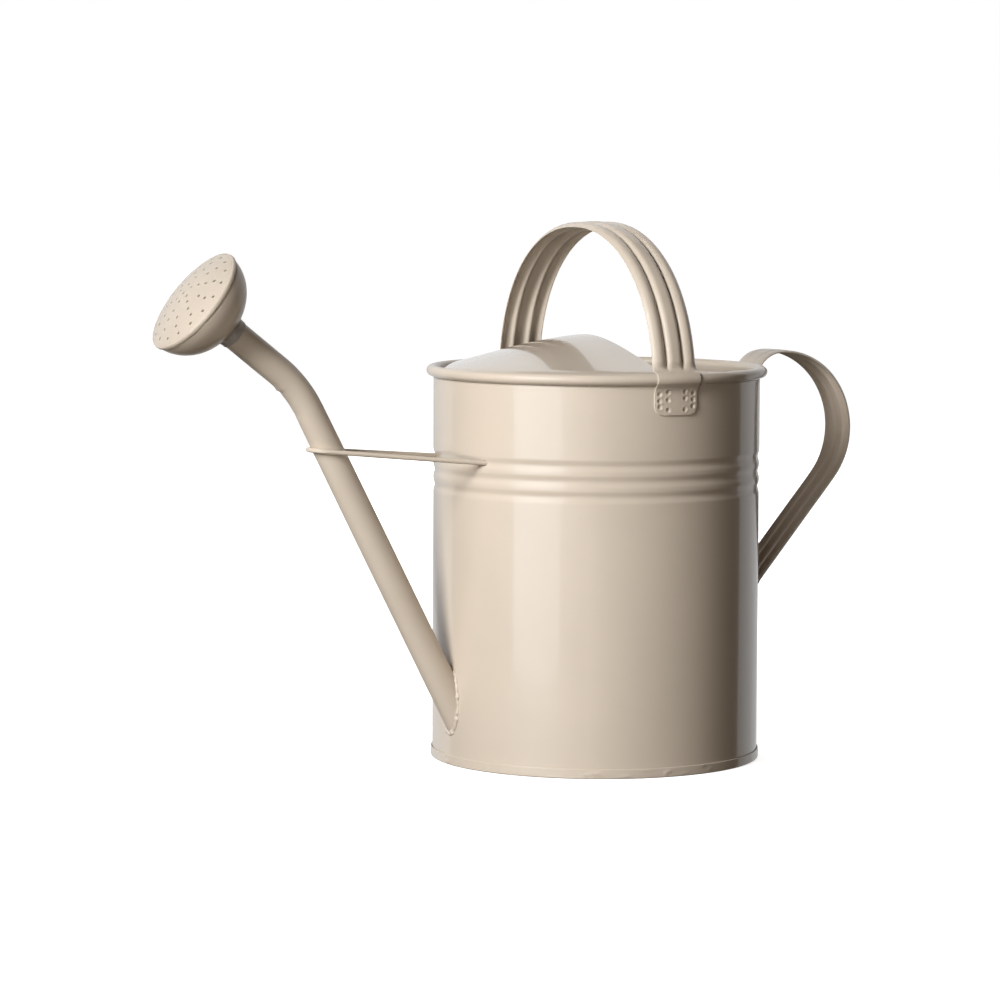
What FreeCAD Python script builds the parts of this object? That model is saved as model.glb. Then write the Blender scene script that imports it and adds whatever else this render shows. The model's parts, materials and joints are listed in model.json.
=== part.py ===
"""Watering can of painted steel sheet, in millimetres.

+Z is up, the origin is the centre of the flat base, the spout points towards -X
and the rear handle towards +X. The top handle arches from -Y to +Y.
"""
import FreeCAD
import Part
import math
import os

from FreeCAD import Vector

# ---------------------------------------------------------------- can
WALL_R = 110.0            # outside radius of the can's wall
SHEET = 0.8               # steel sheet of the can and the spout
FIT_GAP = 0.05            # gap between sheets that are seamed or welded together

ROLL_TUBE_R = 3.67        # outside radius of the curled top edge
ROLL_CENTRE_R = 111.2     # radius at which the curl's centre runs round the can
ROLL_CENTRE_Z = 260.9
WALL_TOP_Z = 258.1        # where the wall runs into the curl
CURL_SLOT = (110.3, 110.9)  # radii of the slit between the curl's free end and the wall

GROOVE_Z = (184.0, 194.15, 204.3)
GROOVE_DEPTH = 0.95
GROOVE_WIDTH = 8.4

SEAM_ANGLE = 15.0         # lap seam, degrees round from +X
SEAM_WIDTH = 7.0
SEAM_HEIGHT = 0.6
SEAM_INNER_R = 108.9      # the lap stands a little proud inside too
SEAM_TOP_Z = 256.0

HEM_R = 111.1             # outside of the knocked-up seam at the foot
HEM_TOP_Z = 6.5
HEM_EDGE_R = 0.9          # rounding of the foot's lower edge

# ---------------------------------------------------------------- splash cover
COVER_CREST_Z = 285.6
COVER_CROWN_R = 40.0      # the dome is rounded inside this radius and nearly conical outside it
COVER_SLOPE = 0.31
COVER_SHOULDER_R = 95.0   # from here outwards the dome turns down a little more
COVER_SHOULDER_BEND = 36.0
COVER_EDGE_X = -6.0       # plane of the free edge
COVER_DOME_R = 107.0      # radius at which the dome ends and its skirt starts
COVER_SKIRT_TOP_Z = 256.5
COVER_SKIRT_LOW_Z = 249.0
COVER_HEM_WIDTH = 5.0
COVER_HEM_DEPTH = 0.8

# ---------------------------------------------------------------- strap handles
STRAP_WIDTH = 31.0
STRAP_SHEET = 1.0
REAR_STRAP_WIDTH = 30.0
# Height of the fluted section above the strap's mean surface, across half its width:
# a crown in the middle, a groove, a shoulder and an edge that curls inwards.
FLUTE_HALF = ((0.0, 1.2), (3.0, 1.0), (6.0, -1.4), (8.5, 0.2), (11.0, 0.8), (13.4, 0.1), (15.5, -1.8))
PLATE_CORNER_R = 6.0

BAIL_CENTRE_X = -1.8
BAIL_HALF_WIDTH = 110.2   # half axes of the top handle's arch, a slightly squared ellipse
BAIL_HEIGHT = 109.0
BAIL_POWER = 2.13
BAIL_CENTRE_Z = 251.0
BAIL_FOOT_ANGLE = 10.4    # where the arch ends above the rim, degrees above level
BAIL_STEPS = 32           # straight spans of the arch
BAIL_LOW_Z = 237.6
ROLL_WRAP_R = 4.95        # outside radius of the strap where it goes over the curl

REAR_TOP_PLATE_LOW_Z = 235.0
REAR_FRONT_ARC = (137.3, 251.0, 21.0)   # centre x, centre z, radius
REAR_BACK_ARC = (139.6, 217.5, 54.5)
REAR_LOW_ARC_R = 53.0
REAR_LOW_TURN = 40.6      # degrees by which the low arc turns back to the can
REAR_LOW_PLATE_Z = 78.0

# ---------------------------------------------------------------- spout
CORNER = Vector(-221.9, 0.0, 255.2)     # where the two straight axes of the spout meet
LOWER_RISE = 62.2         # degrees above level of the lower axis
UPPER_RISE = 37.8         # degrees above level of the tip and the rose
TIP_R = 9.7
BEND_RUN = 17.3           # from the corner to each end of the bend
TIP_LENGTH = 63.5         # from the corner to the tube's open end
# Outside radius of the lower tube against its distance from the corner.
TAPER = ((BEND_RUN, TIP_R), (70.0, 10.0), (110.0, 10.1), (278.0, 10.2))
SOLDER_WIDTH = 1.7
SOLDER_HEIGHT = 1.5

# ---------------------------------------------------------------- brace wire
BRACE_R = 1.6
BRACE_LOOP = Vector(-199.4, 0.0, 212.5)   # centre of the loop, on the spout's axis
BRACE_HOLE = Vector(-104.7, 35.3, 204.2)  # where a leg goes through the wall
BRACE_HOLE_R = 1.75
BRACE_HALF_LENGTH = 14.0  # half axes of the loop round the leaning spout
BRACE_HALF_WIDTH = 11.95
BRACE_INSIDE = 7.0        # length of each leg inside the wall
BRACE_HOOK = 9.0          # the hooked end, turned down against the wall
BRACE_BEND_R = 3.2

# ---------------------------------------------------------------- rose
ROSE_START = 61.5         # from the corner to the back of the bowl, along the tip
BOWL_DEPTH = 31.0
BOWL_R = 37.2
ROSE_SHEET = 0.7
BOWL_HOLE_R = 11.0
FACE_R = 37.75
FACE_RISE = 8.0
FACE_SKIRT = 2.2
HOLE_R = 0.85
# Rings of spray holes: radius, number of holes and angle of the first.
HOLE_RINGS = ((0.0, 1, 0.0), (7.0, 6, 15.0), (13.3, 6, 25.0), (20.0, 12, 0.0), (26.5, 12, 0.0),
              (32.5, 18, 15.0))
NECK_LENGTH = 5.5         # outside the bowl
NECK_INSIDE = 3.0
NECK_BACK_R = 10.15
NECK_FRONT_R = 10.9
NECK_BORE_R = TIP_R + FIT_GAP

X_AXIS = Vector(1, 0, 0)
Y_AXIS = Vector(0, 1, 0)
Z_AXIS = Vector(0, 0, 1)
ORIGIN = Vector(0, 0, 0)


def direction(degrees):
    """Unit vector towards the spout's side, at an angle above level."""
    angle = math.radians(degrees)
    return Vector(-math.cos(angle), 0, math.sin(angle))


TIP_AXIS = direction(UPPER_RISE)
LOWER_AXIS = direction(LOWER_RISE) * -1.0   # from the corner down to the can


def point_rz(r, z):
    """Point of a half section in the XZ plane."""
    return Vector(r, 0, z)


def arc(start, middle, end):
    """Edge through three points."""
    return Part.Arc(start, middle, end).toShape()


def line(start, end):
    """Straight edge."""
    return Part.LineSegment(start, end).toShape()


def spline(points):
    """Smooth edge through points, with evenly spaced parameters."""
    curve = Part.BSplineCurve()
    curve.interpolate(Points=points, Parameters=[float(i) for i in range(len(points))])
    return curve.toShape()


def turned(edges):
    """Solid of revolution of a closed half section round Z."""
    return Part.Face(Part.Wire(edges)).revolve(ORIGIN, Z_AXIS, 360)


def polygon(points):
    """Closed outline of straight edges."""
    return [line(a, b) for a, b in zip(points, points[1:] + points[:1])]


def along(axis, start):
    """Placement that takes +Z to an axis and the origin to a start point."""
    return FreeCAD.Placement(start, FreeCAD.Rotation(Z_AXIS, axis))


def cylinder(radius, length, start, axis):
    """Round bar from a start point along an axis."""
    return Part.makeCylinder(radius, length, start, axis)


# ---------------------------------------------------------------- can
def wall_line(radius):
    """One side of the wall's section from the foot up, with its pressed grooves."""
    edges = []
    here = point_rz(radius, SHEET + FIT_GAP)
    for centre in GROOVE_Z:
        low = point_rz(radius, centre - GROOVE_WIDTH / 2)
        middle = point_rz(radius - GROOVE_DEPTH, centre)
        high = point_rz(radius, centre + GROOVE_WIDTH / 2)
        edges.append(line(here, low))
        edges.append(arc(low, middle, high))
        here = high
    edges.append(line(here, point_rz(radius, WALL_TOP_Z)))
    return edges


def ring(inner, outer, low, high):
    """Flat-ended ring round Z."""
    return Part.makeCylinder(outer, high - low, Vector(0, 0, low)).cut(
        Part.makeCylinder(inner, high - low, Vector(0, 0, low)))


def lap_seam():
    """Flat ridge where the ends of the wall's sheet lap."""
    block = Part.makeBox(20, SEAM_WIDTH, SEAM_TOP_Z - HEM_TOP_Z - 0.3,
                         Vector(WALL_R - 10, -SEAM_WIDTH / 2, HEM_TOP_Z + 0.3))
    block.rotate(ORIGIN, Z_AXIS, SEAM_ANGLE)
    return block.common(ring(SEAM_INNER_R, WALL_R + SEAM_HEIGHT, HEM_TOP_Z, SEAM_TOP_Z))


def body_wall():
    """Can's wall with its curled top edge, its seam and its three holes."""
    bottom = line(point_rz(WALL_R - SHEET, SHEET + FIT_GAP), point_rz(WALL_R, SHEET + FIT_GAP))
    top = line(point_rz(WALL_R, WALL_TOP_Z), point_rz(WALL_R - SHEET, WALL_TOP_Z))
    sheet = turned([bottom] + wall_line(WALL_R) + [top] + wall_line(WALL_R - SHEET)[::-1])
    middle = Vector(0, 0, ROLL_CENTRE_Z)
    curl = Part.makeTorus(ROLL_CENTRE_R, ROLL_TUBE_R, middle)
    curl = curl.cut(Part.makeTorus(ROLL_CENTRE_R, ROLL_TUBE_R - SHEET, middle))
    curl = curl.cut(ring(CURL_SLOT[0], CURL_SLOT[1], ROLL_CENTRE_Z - 5, ROLL_CENTRE_Z - 2))
    body = sheet.fuse(curl).fuse(lap_seam())
    body = body.cut(spout_bore())
    for side in (1, -1):
        start, axis = brace_leg(side)
        body = body.cut(cylinder(BRACE_HOLE_R, 30, start - axis * 15, axis))
    return body


def rim_wire():
    """Steel wire inside the curled edge."""
    return Part.makeTorus(ROLL_CENTRE_R, ROLL_TUBE_R - SHEET - FIT_GAP, Vector(0, 0, ROLL_CENTRE_Z))


def base_disc():
    """Flat bottom with its edge turned up round the foot of the wall."""
    corner_mid = HEM_EDGE_R * (1 - math.sqrt(0.5))
    edges = [line(point_rz(0, 0), point_rz(HEM_R - HEM_EDGE_R, 0)),
             arc(point_rz(HEM_R - HEM_EDGE_R, 0), point_rz(HEM_R - corner_mid, corner_mid),
                 point_rz(HEM_R, HEM_EDGE_R))]
    edges += polygon([point_rz(HEM_R, HEM_EDGE_R), point_rz(HEM_R, HEM_TOP_Z - 0.4),
                      point_rz(HEM_R - 0.4, HEM_TOP_Z), point_rz(WALL_R + FIT_GAP, HEM_TOP_Z),
                      point_rz(WALL_R + FIT_GAP, SHEET), point_rz(0, SHEET), point_rz(0, 0)])[:-1]
    return turned(edges)


# ---------------------------------------------------------------- splash cover
def dome_line(reach, depth):
    """Points of the dome's section from the axis to a radius, at a depth under its surface."""
    points = []
    for step in range(13):
        r = reach * step / 12
        fall = COVER_SLOPE * COVER_CROWN_R * (math.hypot(1, r / COVER_CROWN_R) - 1)
        fall += max(0.0, r - COVER_SHOULDER_R) ** 2 / COVER_SHOULDER_BEND
        points.append(point_rz(r, COVER_CREST_Z - fall - depth))
    return points


def dome_edges(reach, top, low, chain):
    """Closed section between two depths under the dome, joined at the outside by a chain of points."""
    outer = dome_line(reach, top)
    inner = dome_line(reach - 0.5, low)
    corners = [outer[-1]] + chain + [inner[-1]]
    edges = [spline(outer)]
    edges += [line(a, b) for a, b in zip(corners, corners[1:])]
    edges.append(spline(inner[::-1]))
    edges.append(line(inner[0], outer[0]))
    return edges


def splash_cover():
    """Half dome with a skirt inside the wall and a hemmed free edge."""
    skirt_r = WALL_R - SHEET - FIT_GAP
    chain = [point_rz(skirt_r, COVER_SKIRT_TOP_Z), point_rz(skirt_r, COVER_SKIRT_LOW_Z),
             point_rz(skirt_r - SHEET, COVER_SKIRT_LOW_Z),
             point_rz(skirt_r - SHEET, COVER_SKIRT_TOP_Z - 0.3)]
    shell = turned(dome_edges(COVER_DOME_R, 0, SHEET, chain))
    hem = turned(dome_edges(COVER_DOME_R - 1.5, SHEET / 2, SHEET + COVER_HEM_DEPTH, []))
    hem = hem.common(Part.makeBox(COVER_HEM_WIDTH, 300, 100,
                                  Vector(COVER_EDGE_X - COVER_HEM_WIDTH, -150, 240)))
    half = Part.makeBox(200, 300, 100, Vector(COVER_EDGE_X - 200, -150, 240))
    return shell.common(half).fuse(hem)


# ---------------------------------------------------------------- strap handles
def flute_heights(width):
    """Offsets across the strap and the flute's height at each of them."""
    scale = width / 2 / FLUTE_HALF[-1][0]
    right = [(w * scale, h) for w, h in FLUTE_HALF]
    left = [(-w, h) for w, h in right[:0:-1]]
    return left + right


def strap_wire(station, across):
    """Closed section of a strap.

    A station holds a point of the strap's outer surface, the outward normal there, how much
    of the flute it has, how much of the can's roundness, the direction to the can's axis and
    the strap's width.
    """
    point, normal, flute, wrap, inward, width = station
    outer = []
    inner = []
    for offset, height in flute_heights(width):
        reach = point + across * offset
        side = reach.dot(across)
        depth = WALL_R - math.sqrt(WALL_R ** 2 - side ** 2)
        top = reach + normal * (flute * height) + inward * (wrap * depth)
        outer.append(top)
        inner.append(top - normal * STRAP_SHEET)
    ends = line(outer[-1], inner[-1]), line(inner[0], outer[0])
    return Part.Wire([spline(outer), ends[0], spline(inner[::-1]), ends[1]])


def strap(stations, across):
    """Strap made of short straight spans from one station to the next."""
    solid = True
    ruled = True
    return Part.makeLoft([strap_wire(station, across) for station in stations], solid, ruled)


def plate_ends(low_z, width):
    """Height and width of the stations that round the lower corners of a foot plate."""
    ends = []
    for degrees in (0, 30, 60, 90):
        angle = math.radians(degrees)
        z = low_z + PLATE_CORNER_R * (1 - math.cos(angle))
        ends.append((z, width - 2 * PLATE_CORNER_R * (1 - math.sin(angle))))
    return ends


def bail_station(y, z, angle, flute, wrap, side, width=STRAP_WIDTH):
    """Station of the top handle on one side of the can; the angle is the normal's above level."""
    normal = Vector(0, side * math.cos(math.radians(angle)), math.sin(math.radians(angle)))
    return Vector(BAIL_CENTRE_X, side * y, z), normal, flute, wrap, Vector(0, -side, 0), width


def bail_foot(side):
    """Stations from the wall up over the curled rim to the start of the arch."""
    plate_y = WALL_R + FIT_GAP + STRAP_SHEET
    stations = [bail_station(plate_y, z, 0, 0, 1, side, width)
                for z, width in plate_ends(BAIL_LOW_Z, STRAP_WIDTH)]
    stations.append(bail_station(plate_y, 249.0, 0, 0, 1, side))
    stations.append(bail_station(plate_y + 0.35, 252.6, -10, 0, 1, side))
    stations.append(bail_station(plate_y + 1.4, 255.0, -32, 0, 1, side))
    stations.append(bail_station(plate_y + 2.9, 256.7, -42, 0, 1, side))
    for angle in (-25, 0, 25, 50, 72):
        y = ROLL_CENTRE_R + ROLL_WRAP_R * math.cos(math.radians(angle))
        z = ROLL_CENTRE_Z + ROLL_WRAP_R * math.sin(math.radians(angle))
        stations.append(bail_station(y, z, angle, 0, 1, side))
    stations.append(bail_station(110.35, 266.4, 68, 0.1, 0.9, side))
    stations.append(bail_station(109.3, 267.8, 44, 0.2, 0.7, side))
    stations.append(bail_station(108.7, 270.0, 19, 0.5, 0.3, side))
    return stations


def top_handle():
    """Fluted arch over the mouth with a welded plate at each foot."""
    stations = bail_foot(1)
    for step in range(BAIL_STEPS + 1):
        angle = math.radians(BAIL_FOOT_ANGLE + (180 - 2 * BAIL_FOOT_ANGLE) * step / BAIL_STEPS)
        flute = min(1.0, 0.8 + 0.2 * min(step, BAIL_STEPS - step))
        across = abs(math.cos(angle)) ** (2 / BAIL_POWER)
        up = math.sin(angle) ** (2 / BAIL_POWER)
        y = math.copysign(BAIL_HALF_WIDTH * across, math.cos(angle))
        z = BAIL_CENTRE_Z + BAIL_HEIGHT * up
        lean = math.copysign(across ** (BAIL_POWER - 1) / BAIL_HALF_WIDTH, y)
        normal = math.degrees(math.atan2(up ** (BAIL_POWER - 1) / BAIL_HEIGHT, lean))
        stations.append(bail_station(y, z, normal, flute, 0, 1))
    return strap(stations + bail_foot(-1)[::-1], X_AXIS)


def rear_station(x, z, angle, flute, wrap, width=REAR_STRAP_WIDTH):
    """Station of the rear handle; the angle is the normal's above level, turning from +X to +Z."""
    normal = Vector(math.cos(math.radians(angle)), 0, math.sin(math.radians(angle)))
    return Vector(x, 0, z), normal, flute, wrap, Vector(-1, 0, 0), width


def rear_arc(centre_x, centre_z, radius, angles, flutes):
    """Stations round an arc of the rear handle."""
    stations = []
    for angle, flute in zip(angles, flutes):
        x = centre_x + radius * math.cos(math.radians(angle))
        z = centre_z + radius * math.sin(math.radians(angle))
        stations.append(rear_station(x, z, angle, flute, 0))
    return stations


def rear_handle():
    """Fluted loop behind the can, welded to the wall under the rim and low down."""
    wall_x = WALL_R + FIT_GAP
    stations = [rear_station(wall_x, z, 180, 0, 1, width)
                for z, width in plate_ends(REAR_TOP_PLATE_LOW_Z, REAR_STRAP_WIDTH)]
    stations.append(rear_station(wall_x, 244.0, 180, 0, 1))
    stations.append(rear_station(wall_x + 0.5, 247.0, 163, 0, 0.95))
    stations.append(rear_station(wall_x + 2.2, 250.2, 150, 0, 0.6))
    stations.append(rear_station(wall_x + 4.0, 253.6, 155, 0.1, 0.3))
    stations += rear_arc(*REAR_FRONT_ARC, (160, 140, 120, 105, 90), (0.2, 0.35, 0.5, 0.65, 0.8))
    stations += rear_arc(*REAR_BACK_ARC, range(78, -1, -13), (0.95, 1, 1, 1, 1, 1, 1))
    low_x = REAR_BACK_ARC[0] + REAR_BACK_ARC[2] - REAR_LOW_ARC_R
    low_angles = (-10, -20, -30, -REAR_LOW_TURN)
    stations += rear_arc(low_x, REAR_BACK_ARC[1], REAR_LOW_ARC_R, low_angles, (1, 1, 1, 1))
    leave = stations[-1][0]
    turn = math.radians(REAR_LOW_TURN)
    step = Vector(-math.sin(turn), 0, -math.cos(turn))
    plate_x = wall_x + STRAP_SHEET
    run = (leave.x - plate_x) / math.sin(turn)
    for part, flute, wrap in ((0.25, 1, 0), (0.5, 1, 0), (0.75, 1, 0), (0.9, 0.8, 0), (0.955, 0.3, 0.3)):
        spot = leave + step * (run * part)
        stations.append(rear_station(spot.x, spot.z, -REAR_LOW_TURN, flute, wrap))
    meet = leave + step * run
    stations.append(rear_station(plate_x + 0.9, meet.z + 0.6, -26, 0, 0.8))
    stations.append(rear_station(plate_x + 0.15, meet.z - 2.6, -8, 0, 1))
    stations.append(rear_station(plate_x, meet.z - 6.0, 0, 0, 1))
    for z, width in plate_ends(REAR_LOW_PLATE_Z, REAR_STRAP_WIDTH)[::-1]:
        stations.append(rear_station(plate_x, z, 0, 0, 1, width))
    return strap(stations, Y_AXIS)


# ---------------------------------------------------------------- spout
def spout_solid(offset):
    """Solid spout whose surface lies outside the tube's by an offset."""
    half_turn = math.radians(LOWER_RISE - UPPER_RISE) / 2
    outline = [point_rz(r + offset, s) for s, r in TAPER]
    corners = [outline[-1], point_rz(0, outline[-1].z), point_rz(0, outline[0].z), outline[0]]
    lower = turned([spline(outline)] + [line(a, b) for a, b in zip(corners, corners[1:])])
    lower.Placement = along(LOWER_AXIS, CORNER)
    bend_start = CORNER + LOWER_AXIS * BEND_RUN
    bend_end = CORNER + TIP_AXIS * BEND_RUN
    radius = BEND_RUN / math.tan(half_turn)
    inward = LOWER_AXIS + TIP_AXIS
    inward.normalize()
    pivot = CORNER + inward * (radius / math.cos(half_turn))
    middle = pivot - inward * radius
    path = Part.Wire([arc(bend_start, middle, bend_end)])
    circle = Part.Wire([Part.makeCircle(TIP_R + offset, bend_start, LOWER_AXIS)])
    bend = path.makePipeShell([circle], True, True)
    tip = cylinder(TIP_R + offset, TIP_LENGTH - BEND_RUN, bend_end, TIP_AXIS)
    return lower.fuse(bend).fuse(tip).removeSplitter()


def spout_bore():
    """Hollow of the spout, through the wall of the can and out of the tip."""
    bore = spout_solid(-SHEET)
    end = cylinder(TIP_R - SHEET, 20, CORNER + TIP_AXIS * (TIP_LENGTH - 10), TIP_AXIS)
    start = cylinder(TAPER[-1][1] - SHEET, 20, CORNER + LOWER_AXIS * (TAPER[-1][0] - 1), LOWER_AXIS)
    return bore.fuse(end).fuse(start)


def can_core(radius):
    """Solid cylinder on the can's axis."""
    return Part.makeCylinder(radius, 320, Vector(0, 0, -40))


def spout_tube():
    """Slightly tapered tube with one bend, butted on the can's wall."""
    return spout_solid(0).cut(spout_bore()).cut(can_core(WALL_R + FIT_GAP))


def spout_solder():
    """Bead round the joint of spout and wall."""
    collar = spout_solid(SOLDER_WIDTH).cut(spout_solid(FIT_GAP / 2))
    collar = collar.cut(can_core(WALL_R + FIT_GAP / 2))
    return collar.common(can_core(WALL_R + SOLDER_HEIGHT))


# ---------------------------------------------------------------- brace wire
def brace_forward():
    """Direction of the wire's sloping plane, from the wall to the spout."""
    forward = BRACE_LOOP - Vector(BRACE_HOLE.x, 0, BRACE_HOLE.z)
    forward.normalize()
    return forward


def brace_touch(side):
    """Point where a straight leg runs on to the loop."""
    forward = brace_forward()
    reach = BRACE_HOLE - BRACE_LOOP
    along_a = reach.dot(forward) / BRACE_HALF_LENGTH
    along_b = reach.y / BRACE_HALF_WIDTH
    angle = math.atan2(along_b, along_a) - math.acos(1 / math.hypot(along_a, along_b))
    spot = BRACE_LOOP + forward * (BRACE_HALF_LENGTH * math.cos(angle))
    return spot + Y_AXIS * (side * BRACE_HALF_WIDTH * math.sin(angle))


def brace_leg(side):
    """Point where a leg passes the wall and its direction into the can."""
    hole = Vector(BRACE_HOLE.x, side * BRACE_HOLE.y, BRACE_HOLE.z)
    axis = hole - brace_touch(side)
    axis.normalize()
    return hole, axis


def brace_wire():
    """One wire round the spout with both legs hooked behind the wall."""
    long_end = BRACE_LOOP + brace_forward() * BRACE_HALF_LENGTH
    ellipse = Part.Ellipse(long_end, BRACE_LOOP + Y_AXIS * BRACE_HALF_WIDTH, BRACE_LOOP)
    touches = [ellipse.parameter(brace_touch(side)) for side in (1, -1)]
    loop = Part.ArcOfEllipse(ellipse, min(touches), max(touches))
    if loop.value((loop.FirstParameter + loop.LastParameter) / 2).x > BRACE_LOOP.x:
        loop = Part.ArcOfEllipse(ellipse, max(touches), min(touches) + 2 * math.pi)
    edges = [loop.toShape()]
    for side in (1, -1):
        hole, axis = brace_leg(side)
        start = brace_touch(side)
        down = Z_AXIS * -1.0
        down = down - axis * down.dot(axis)
        down.normalize()
        bend_at = hole + axis * BRACE_INSIDE
        after = bend_at + axis * BRACE_BEND_R + down * BRACE_BEND_R
        pivot = bend_at + down * BRACE_BEND_R
        diagonal = axis - down
        diagonal.normalize()
        edges.append(line(start, bend_at))
        edges.append(arc(bend_at, pivot + diagonal * BRACE_BEND_R, after))
        edges.append(line(after, after + down * BRACE_HOOK))
    path = Part.Wire(Part.__sortEdges__(edges))
    begin = path.OrderedVertexes[0].Point
    tangent = path.OrderedEdges[0].tangentAt(path.OrderedEdges[0].FirstParameter)
    circle = Part.Wire([Part.makeCircle(BRACE_R, begin, tangent)])
    return path.makePipeShell([circle], True, True)


# ---------------------------------------------------------------- rose
def rose_placed(shape):
    """Takes a shape built on +Z to the rose's place on the spout."""
    shape.Placement = along(TIP_AXIS, CORNER + TIP_AXIS * ROSE_START)
    return shape


def bowl_solid(radius, depth):
    """Half ellipsoid that opens towards the face."""
    ball = Part.makeSphere(1.0, ORIGIN, Z_AXIS, -90, 0, 360)
    matrix = FreeCAD.Matrix()
    matrix.scale(radius, radius, depth)
    solid = ball.transformGeometry(matrix)
    solid.translate(Vector(0, 0, BOWL_DEPTH))
    return solid


def rose_bowl():
    """Spun bowl with a hole for the neck."""
    bowl = bowl_solid(BOWL_R, BOWL_DEPTH).cut(bowl_solid(BOWL_R - ROSE_SHEET, BOWL_DEPTH - ROSE_SHEET))
    bowl = bowl.cut(Part.makeCylinder(BOWL_HOLE_R, 20, Vector(0, 0, -2)))
    return rose_placed(bowl)


def rose_face():
    """Domed disc with rings of spray holes and a skirt over the bowl's lip."""
    sphere = (FACE_R ** 2 + FACE_RISE ** 2) / (2 * FACE_RISE)
    base_z = BOWL_DEPTH + FIT_GAP + ROSE_SHEET

    def dome(r, depth):
        return point_rz(r, base_z + FACE_RISE - sphere + math.sqrt((sphere - depth) ** 2 - r ** 2))

    rim_in = FACE_R - 0.45
    edges = [arc(dome(0, 0), dome(FACE_R / 2, 0), dome(FACE_R, 0))]
    chain = [dome(FACE_R, 0), point_rz(FACE_R, base_z - FACE_SKIRT),
             point_rz(rim_in, base_z - FACE_SKIRT), dome(rim_in, ROSE_SHEET)]
    edges += [line(a, b) for a, b in zip(chain, chain[1:])]
    edges.append(arc(dome(rim_in, ROSE_SHEET), dome(rim_in / 2, ROSE_SHEET), dome(0, ROSE_SHEET)))
    edges.append(line(dome(0, ROSE_SHEET), dome(0, 0)))
    face = turned(edges)
    drills = []
    for radius, count, first in HOLE_RINGS:
        for index in range(count):
            angle = math.radians(first + 360.0 * index / count)
            # Local X points up the face and local Y across the can.
            spot = Vector(radius * math.sin(angle), radius * math.cos(angle), BOWL_DEPTH - 5)
            drills.append(Part.makeCylinder(HOLE_R, 20, spot))
    return rose_placed(face.cut(Part.Compound(drills)))


def rose_neck():
    """Short tapered sleeve that slides over the spout's tip."""
    section = [point_rz(NECK_BORE_R, -NECK_LENGTH), point_rz(NECK_BACK_R, -NECK_LENGTH),
               point_rz(NECK_FRONT_R, 0), point_rz(NECK_FRONT_R, NECK_INSIDE),
               point_rz(NECK_BORE_R, NECK_INSIDE)]
    return rose_placed(turned(polygon(section)))


BUILDERS = {
    "body_wall": body_wall,
    "rim_wire": rim_wire,
    "base_disc": base_disc,
    "splash_cover": splash_cover,
    "top_handle": top_handle,
    "rear_handle": rear_handle,
    "spout_tube": spout_tube,
    "spout_solder": spout_solder,
    "brace_wire": brace_wire,
    "rose_bowl": rose_bowl,
    "rose_face": rose_face,
    "rose_neck": rose_neck,
}


def main():
    """Writes one STEP file for each piece."""
    os.makedirs("parts", exist_ok=True)
    for name, build in BUILDERS.items():
        shape = build()
        if not shape.isValid():
            raise ValueError(name + " is not a valid shape")
        box = shape.BoundBox
        print("%-13s solids %d  volume %9.1f  x %.1f..%.1f  y %.1f..%.1f  z %.1f..%.1f" % (
            name, len(shape.Solids), shape.Volume, box.XMin, box.XMax, box.YMin, box.YMax,
            box.ZMin, box.ZMax))
        shape.exportStep("parts/" + name + ".step")


main()
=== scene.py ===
"""Looks of the painted sheet-steel watering can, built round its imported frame.

Lengths below are in millimetres unless a name says otherwise; meshes are scaled to metres
when they are made. The frame's origin is the centre of the can's base, +Z is up, the spout
points to -X and the rear handle to +X.
"""

import json
import math

import bmesh
import bpy
import numpy as np
from mathutils import Matrix, Vector


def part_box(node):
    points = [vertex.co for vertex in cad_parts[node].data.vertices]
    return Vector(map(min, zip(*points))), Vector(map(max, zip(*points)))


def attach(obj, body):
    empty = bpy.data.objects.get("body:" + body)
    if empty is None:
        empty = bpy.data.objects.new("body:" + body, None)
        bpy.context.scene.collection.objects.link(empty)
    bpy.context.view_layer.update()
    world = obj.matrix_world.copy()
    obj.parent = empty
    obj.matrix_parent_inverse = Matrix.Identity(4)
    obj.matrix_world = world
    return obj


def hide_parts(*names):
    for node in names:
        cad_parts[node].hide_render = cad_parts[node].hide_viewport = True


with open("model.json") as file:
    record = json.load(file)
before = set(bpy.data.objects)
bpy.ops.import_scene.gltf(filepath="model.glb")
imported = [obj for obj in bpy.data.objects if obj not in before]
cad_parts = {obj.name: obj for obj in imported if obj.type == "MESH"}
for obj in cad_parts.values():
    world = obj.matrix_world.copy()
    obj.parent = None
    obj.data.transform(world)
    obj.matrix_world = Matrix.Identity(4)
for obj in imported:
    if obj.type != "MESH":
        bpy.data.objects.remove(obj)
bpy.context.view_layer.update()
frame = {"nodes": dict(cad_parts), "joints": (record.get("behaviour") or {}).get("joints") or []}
MM = 0.001

# ---------------------------------------------------------------- sizes, from the frame
WALL_BOX = [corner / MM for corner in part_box("body_wall")]
HEM_BOX = [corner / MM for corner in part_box("base_disc")]
BAIL_BOX = [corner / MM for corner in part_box("top_handle")]
REAR_BOX = [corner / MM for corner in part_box("rear_handle")]
COVER_BOX = [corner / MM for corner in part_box("splash_cover")]
RIM_TOP = WALL_BOX[1].z
TUBE_R = 3.67                                  # outside radius of the curled rim
CURL_R = WALL_BOX[1].x - TUBE_R                # radius of the circle that the curl follows
CURL_Z = RIM_TOP - TUBE_R
HEM_R = HEM_BOX[1].x
HEM_TOP = HEM_BOX[1].z
SHEET = 0.8
WALL_R = HEM_R - 1.1                           # outside of the wall
TIP_AXIS = Vector(frame["joints"][0]["axis"])  # the rose slides off along the spout's tip


# ---------------------------------------------------------------- mesh helpers
def smoothstep(value, low, high):
    """0 below low, 1 above high and a smooth ramp between, for numbers or arrays."""
    t = np.clip((np.asarray(value, float) - low) / (high - low), 0.0, 1.0)
    return t * t * (3.0 - 2.0 * t)


def unit(vectors):
    """Rows of an array scaled to length 1."""
    return vectors / np.linalg.norm(vectors, axis=-1, keepdims=True)


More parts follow.
